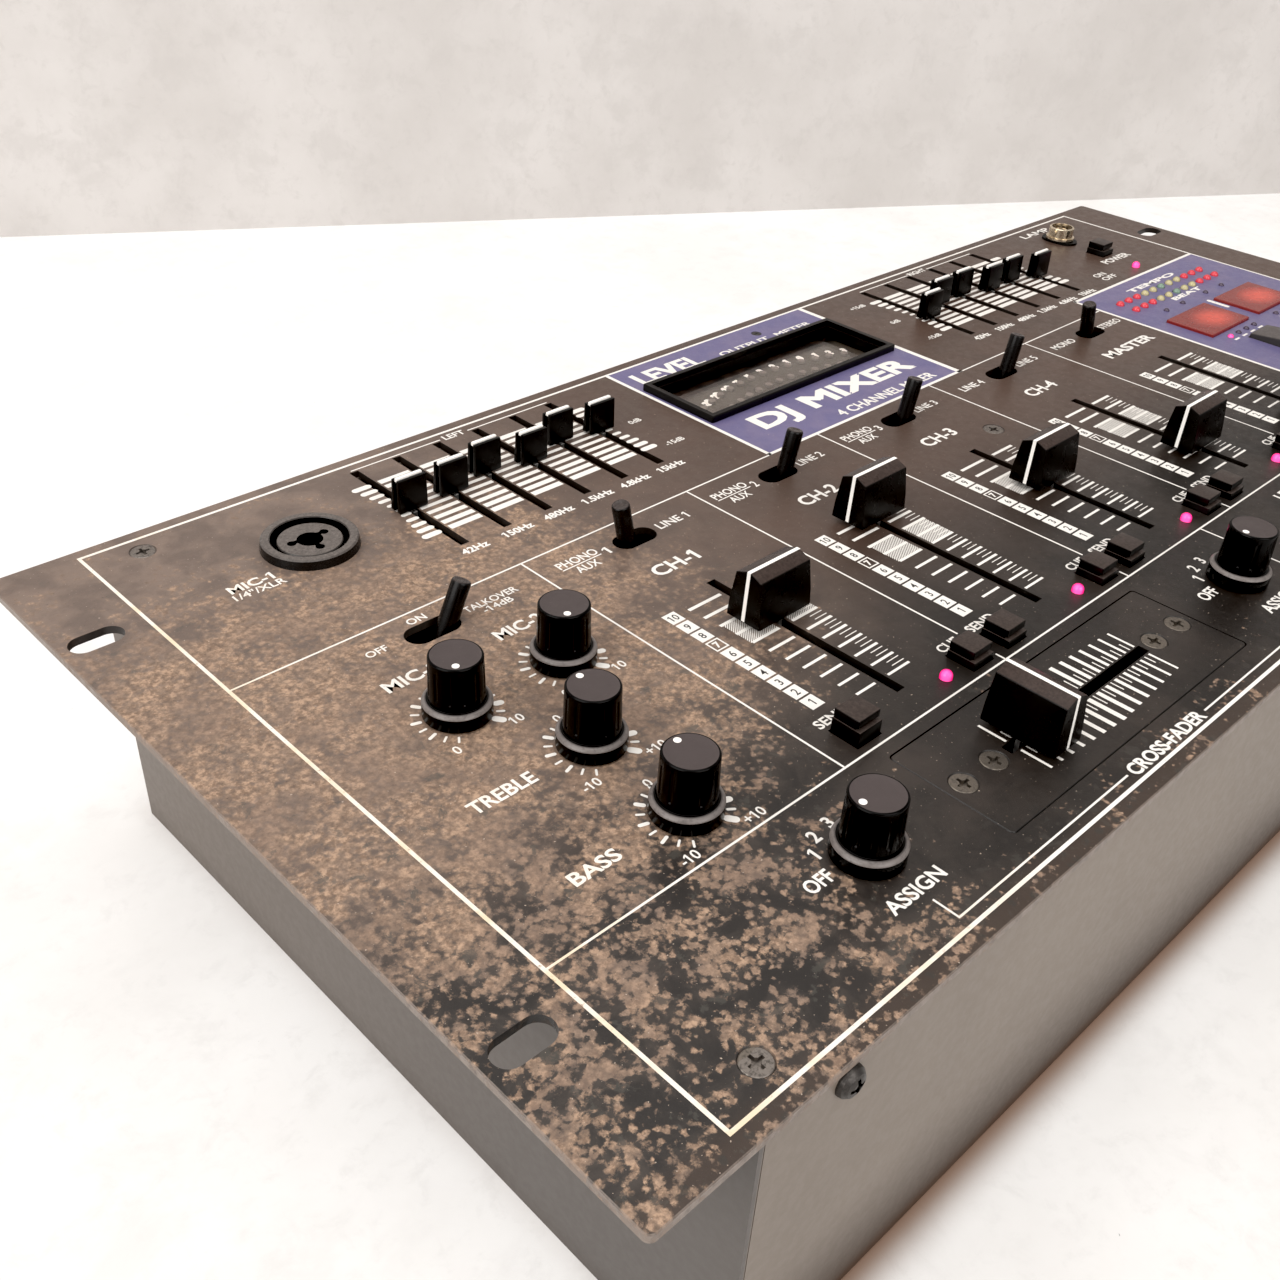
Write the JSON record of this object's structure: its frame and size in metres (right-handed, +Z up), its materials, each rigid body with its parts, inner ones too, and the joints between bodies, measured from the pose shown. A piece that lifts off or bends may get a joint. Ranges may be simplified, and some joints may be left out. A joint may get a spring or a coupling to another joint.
{
  "type": "dj mixer",
  "caption": "Rack-mount DJ mixer with linear channel faders, a crossfader, two banks of equaliser sliders, toggle switches, knobs and push buttons on a sheet-metal case.",
  "frame": {"origin": "centre of the flat bottom face the mixer stands on", "axes": "+X to the operator's right along the width, +Y from the operator to the back, +Z up out of the control panel"},
  "size_m": [0.4826, 0.2253, 0.0963],
  "materials": {
    "panel_paint": "satin",
    "case_paint": "satin",
    "black_screws": "satin",
    "black_plastic": "matte",
    "smoked_window": "gloss",
    "circuit_board": "matte",
    "red_lens": "gloss",
    "led_plastic": "gloss",
    "brass_plate": "satin",
    "bare_steel": "satin"
  },
  "bodies": {
    "housing": {"top_panel": "panel_paint", "chassis_tray": "case_paint", "side_plates": "case_paint", "crossfader_plate": "panel_paint", "panel_screws": "black_screws", "case_screws": "black_screws", "mic_combo_jack": "black_plastic", "meter_bezel": "black_plastic", "meter_window": "smoked_window", "meter_board": "circuit_board", "tempo_display_lenses": "red_lens", "indicator_leds": "led_plastic", "lamp_socket": "brass_plate", "headphone_jack": "black_plastic", "control_bodies": "bare_steel", "main_pcb": "circuit_board", "power_supply": "bare_steel", "rear_connectors": "black_plastic"},
    "left_eq_slider_1": {"left_eq_slider_1": "black_plastic"},
    "left_eq_slider_2": {"left_eq_slider_2": "black_plastic"},
    "left_eq_slider_3": {"left_eq_slider_3": "black_plastic"},
    "left_eq_slider_4": {"left_eq_slider_4": "black_plastic"},
    "left_eq_slider_5": {"left_eq_slider_5": "black_plastic"},
    "left_eq_slider_6": {"left_eq_slider_6": "black_plastic"},
    "right_eq_slider_1": {"right_eq_slider_1": "black_plastic"},
    "right_eq_slider_2": {"right_eq_slider_2": "black_plastic"},
    "right_eq_slider_3": {"right_eq_slider_3": "black_plastic"},
    "right_eq_slider_4": {"right_eq_slider_4": "black_plastic"},
    "right_eq_slider_5": {"right_eq_slider_5": "black_plastic"},
    "right_eq_slider_6": {"right_eq_slider_6": "black_plastic"},
    "fader_ch1": {"fader_ch1": "black_plastic"},
    "fader_ch2": {"fader_ch2": "black_plastic"},
    "fader_ch3": {"fader_ch3": "black_plastic"},
    "fader_ch4": {"fader_ch4": "black_plastic"},
    "fader_master": {"fader_master": "black_plastic"},
    "crossfader": {"crossfader": "black_plastic"},
    "mic1_level_knob": {"mic1_level_knob": "black_plastic"},
    "mic2_level_knob": {"mic2_level_knob": "black_plastic"},
    "treble_knob": {"treble_knob": "black_plastic"},
    "bass_knob": {"bass_knob": "black_plastic"},
    "assign_left_knob": {"assign_left_knob": "black_plastic"},
    "assign_right_knob": {"assign_right_knob": "black_plastic"},
    "phones_level_knob": {"phones_level_knob": "black_plastic"},
    "input_toggle_ch1": {"input_toggle_ch1": "black_plastic"},
    "input_toggle_ch2": {"input_toggle_ch2": "black_plastic"},
    "input_toggle_ch3": {"input_toggle_ch3": "black_plastic"},
    "input_toggle_ch4": {"input_toggle_ch4": "black_plastic"},
    "mono_stereo_toggle": {"mono_stereo_toggle": "black_plastic"},
    "talkover_toggle": {"talkover_toggle": "black_plastic"},
    "send_button_1": {"send_button_1": "black_plastic"},
    "cue_button_1": {"cue_button_1": "black_plastic"},
    "send_button_2": {"send_button_2": "black_plastic"},
    "cue_button_2": {"cue_button_2": "black_plastic"},
    "send_button_3": {"send_button_3": "black_plastic"},
    "cue_button_3": {"cue_button_3": "black_plastic"},
    "send_button_4": {"send_button_4": "black_plastic"},
    "cue_button_4": {"cue_button_4": "black_plastic"},
    "power_button": {"power_button": "black_plastic"},
    "tap_button_left": {"tap_button_left": "black_plastic"},
    "tap_button_right": {"tap_button_right": "black_plastic"}
  },
  "joints": [
    {"name": "left_eq_slider_1_joint", "type": "slide", "parent": "housing", "child": "left_eq_slider_1", "axis": [0, 1, 0], "range_m": [-0.0141, 0.0159]},
    {"name": "left_eq_slider_2_joint", "type": "slide", "parent": "housing", "child": "left_eq_slider_2", "axis": [0, 1, 0], "range_m": [-0.0147, 0.0153]},
    {"name": "left_eq_slider_3_joint", "type": "slide", "parent": "housing", "child": "left_eq_slider_3", "axis": [0, 1, 0], "range_m": [-0.0179, 0.0121]},
    {"name": "left_eq_slider_4_joint", "type": "slide", "parent": "housing", "child": "left_eq_slider_4", "axis": [0, 1, 0], "range_m": [-0.0146, 0.0154]},
    {"name": "left_eq_slider_5_joint", "type": "slide", "parent": "housing", "child": "left_eq_slider_5", "axis": [0, 1, 0], "range_m": [-0.0193, 0.0107]},
    {"name": "left_eq_slider_6_joint", "type": "slide", "parent": "housing", "child": "left_eq_slider_6", "axis": [0, 1, 0], "range_m": [-0.0169, 0.0131]},
    {"name": "right_eq_slider_1_joint", "type": "slide", "parent": "housing", "child": "right_eq_slider_1", "axis": [0, 1, 0], "range_m": [-0.01, 0.02]},
    {"name": "right_eq_slider_2_joint", "type": "slide", "parent": "housing", "child": "right_eq_slider_2", "axis": [0, 1, 0], "range_m": [-0.0158, 0.0142]},
    {"name": "right_eq_slider_3_joint", "type": "slide", "parent": "housing", "child": "right_eq_slider_3", "axis": [0, 1, 0], "range_m": [-0.0162, 0.0138]},
    {"name": "right_eq_slider_4_joint", "type": "slide", "parent": "housing", "child": "right_eq_slider_4", "axis": [0, 1, 0], "range_m": [-0.0126, 0.0174]},
    {"name": "right_eq_slider_5_joint", "type": "slide", "parent": "housing", "child": "right_eq_slider_5", "axis": [0, 1, 0], "range_m": [-0.0131, 0.0169]},
    {"name": "right_eq_slider_6_joint", "type": "slide", "parent": "housing", "child": "right_eq_slider_6", "axis": [0, 1, 0], "range_m": [-0.0095, 0.0205]},
    {"name": "fader_ch1_joint", "type": "slide", "parent": "housing", "child": "fader_ch1", "axis": [0, 1, 0], "range_m": [-0.0337, 0.0143]},
    {"name": "fader_ch2_joint", "type": "slide", "parent": "housing", "child": "fader_ch2", "axis": [0, 1, 0], "range_m": [-0.0475, 0.0005]},
    {"name": "fader_ch3_joint", "type": "slide", "parent": "housing", "child": "fader_ch3", "axis": [0, 1, 0], "range_m": [-0.0292, 0.0188]},
    {"name": "fader_ch4_joint", "type": "slide", "parent": "housing", "child": "fader_ch4", "axis": [0, 1, 0], "range_m": [-0.0129, 0.0351]},
    {"name": "fader_master_joint", "type": "slide", "parent": "housing", "child": "fader_master", "axis": [0, 1, 0], "range_m": [-0.0015, 0.0465]},
    {"name": "crossfader_joint", "type": "slide", "parent": "housing", "child": "crossfader", "axis": [1, 0, 0], "range_m": [-0.0011, 0.0419]},
    {"name": "mic1_level_knob_joint", "type": "hinge", "parent": "housing", "child": "mic1_level_knob", "pos_m": [-0.1887, 0.0039, 0.0862], "axis": [0, 0, 1], "range_deg": [-287, 1]},
    {"name": "mic2_level_knob_joint", "type": "hinge", "parent": "housing", "child": "mic2_level_knob", "pos_m": [-0.1594, 0.0039, 0.0862], "axis": [0, 0, 1], "range_deg": [-292, 0]},
    {"name": "treble_knob_joint", "type": "hinge", "parent": "housing", "child": "treble_knob", "pos_m": [-0.1744, -0.0219, 0.0862], "axis": [0, 0, 1], "range_deg": [-144, 144]},
    {"name": "bass_knob_joint", "type": "hinge", "parent": "housing", "child": "bass_knob", "pos_m": [-0.1745, -0.049, 0.0862], "axis": [0, 0, 1], "range_deg": [-138, 150]},
    {"name": "assign_left_knob_joint", "type": "hinge", "parent": "housing", "child": "assign_left_knob", "pos_m": [-0.1572, -0.0796, 0.0862], "axis": [0, 0, 1], "range_deg": [-90, 0]},
    {"name": "assign_right_knob_joint", "type": "hinge", "parent": "housing", "child": "assign_right_knob", "pos_m": [-0.0071, -0.0796, 0.0862], "axis": [0, 0, 1], "range_deg": [-92, 0]},
    {"name": "phones_level_knob_joint", "type": "hinge", "parent": "housing", "child": "phones_level_knob", "pos_m": [0.0507, -0.0796, 0.0862], "axis": [0, 0, 1], "range_deg": [-287, 1]},
    {"name": "input_toggle_ch1_joint", "type": "hinge", "parent": "housing", "child": "input_toggle_ch1", "pos_m": [-0.1105, 0.0321, 0.0692], "axis": [0, 1, 0], "range_deg": [0, 26.4]},
    {"name": "input_toggle_ch2_joint", "type": "hinge", "parent": "housing", "child": "input_toggle_ch2", "pos_m": [-0.0552, 0.0321, 0.0692], "axis": [0, 1, 0], "range_deg": [-26.4, 0]},
    {"name": "input_toggle_ch3_joint", "type": "hinge", "parent": "housing", "child": "input_toggle_ch3", "pos_m": [0.0001, 0.0321, 0.0692], "axis": [0, 1, 0], "range_deg": [-26.4, 0]},
    {"name": "input_toggle_ch4_joint", "type": "hinge", "parent": "housing", "child": "input_toggle_ch4", "pos_m": [0.0554, 0.0321, 0.0692], "axis": [0, 1, 0], "range_deg": [-26.4, 0]},
    {"name": "mono_stereo_toggle_joint", "type": "hinge", "parent": "housing", "child": "mono_stereo_toggle", "pos_m": [0.1107, 0.0321, 0.0692], "axis": [0, 1, 0], "range_deg": [0, 26.4]},
    {"name": "talkover_toggle_joint", "type": "hinge", "parent": "housing", "child": "talkover_toggle", "pos_m": [-0.17405, 0.0321, 0.0722], "axis": [0, 1, 0], "range_deg": [-50, 0]},
    {"name": "send_button_1_joint", "type": "slide", "parent": "housing", "child": "send_button_1", "axis": [0, 0, 1], "range_m": [-0.0024, 0]},
    {"name": "cue_button_1_joint", "type": "slide", "parent": "housing", "child": "cue_button_1", "axis": [0, 0, 1], "range_m": [-0.0005, 0.0019]},
    {"name": "send_button_2_joint", "type": "slide", "parent": "housing", "child": "send_button_2", "axis": [0, 0, 1], "range_m": [-0.0005, 0.0019]},
    {"name": "cue_button_2_joint", "type": "slide", "parent": "housing", "child": "cue_button_2", "axis": [0, 0, 1], "range_m": [-0.0005, 0.0019]},
    {"name": "send_button_3_joint", "type": "slide", "parent": "housing", "child": "send_button_3", "axis": [0, 0, 1], "range_m": [-0.0005, 0.0019]},
    {"name": "cue_button_3_joint", "type": "slide", "parent": "housing", "child": "cue_button_3", "axis": [0, 0, 1], "range_m": [-0.0005, 0.0019]},
    {"name": "send_button_4_joint", "type": "slide", "parent": "housing", "child": "send_button_4", "axis": [0, 0, 1], "range_m": [-0.0005, 0.0019]},
    {"name": "cue_button_4_joint", "type": "slide", "parent": "housing", "child": "cue_button_4", "axis": [0, 0, 1], "range_m": [-0.0005, 0.0019]},
    {"name": "power_button_joint", "type": "slide", "parent": "housing", "child": "power_button", "axis": [0, 0, 1], "range_m": [-0.0008, 0.0016]},
    {"name": "tap_button_left_joint", "type": "slide", "parent": "housing", "child": "tap_button_left", "axis": [0, 0, 1], "range_m": [-0.001, 0]},
    {"name": "tap_button_right_joint", "type": "slide", "parent": "housing", "child": "tap_button_right", "axis": [0, 0, 1], "range_m": [-0.001, 0]}
  ]
}
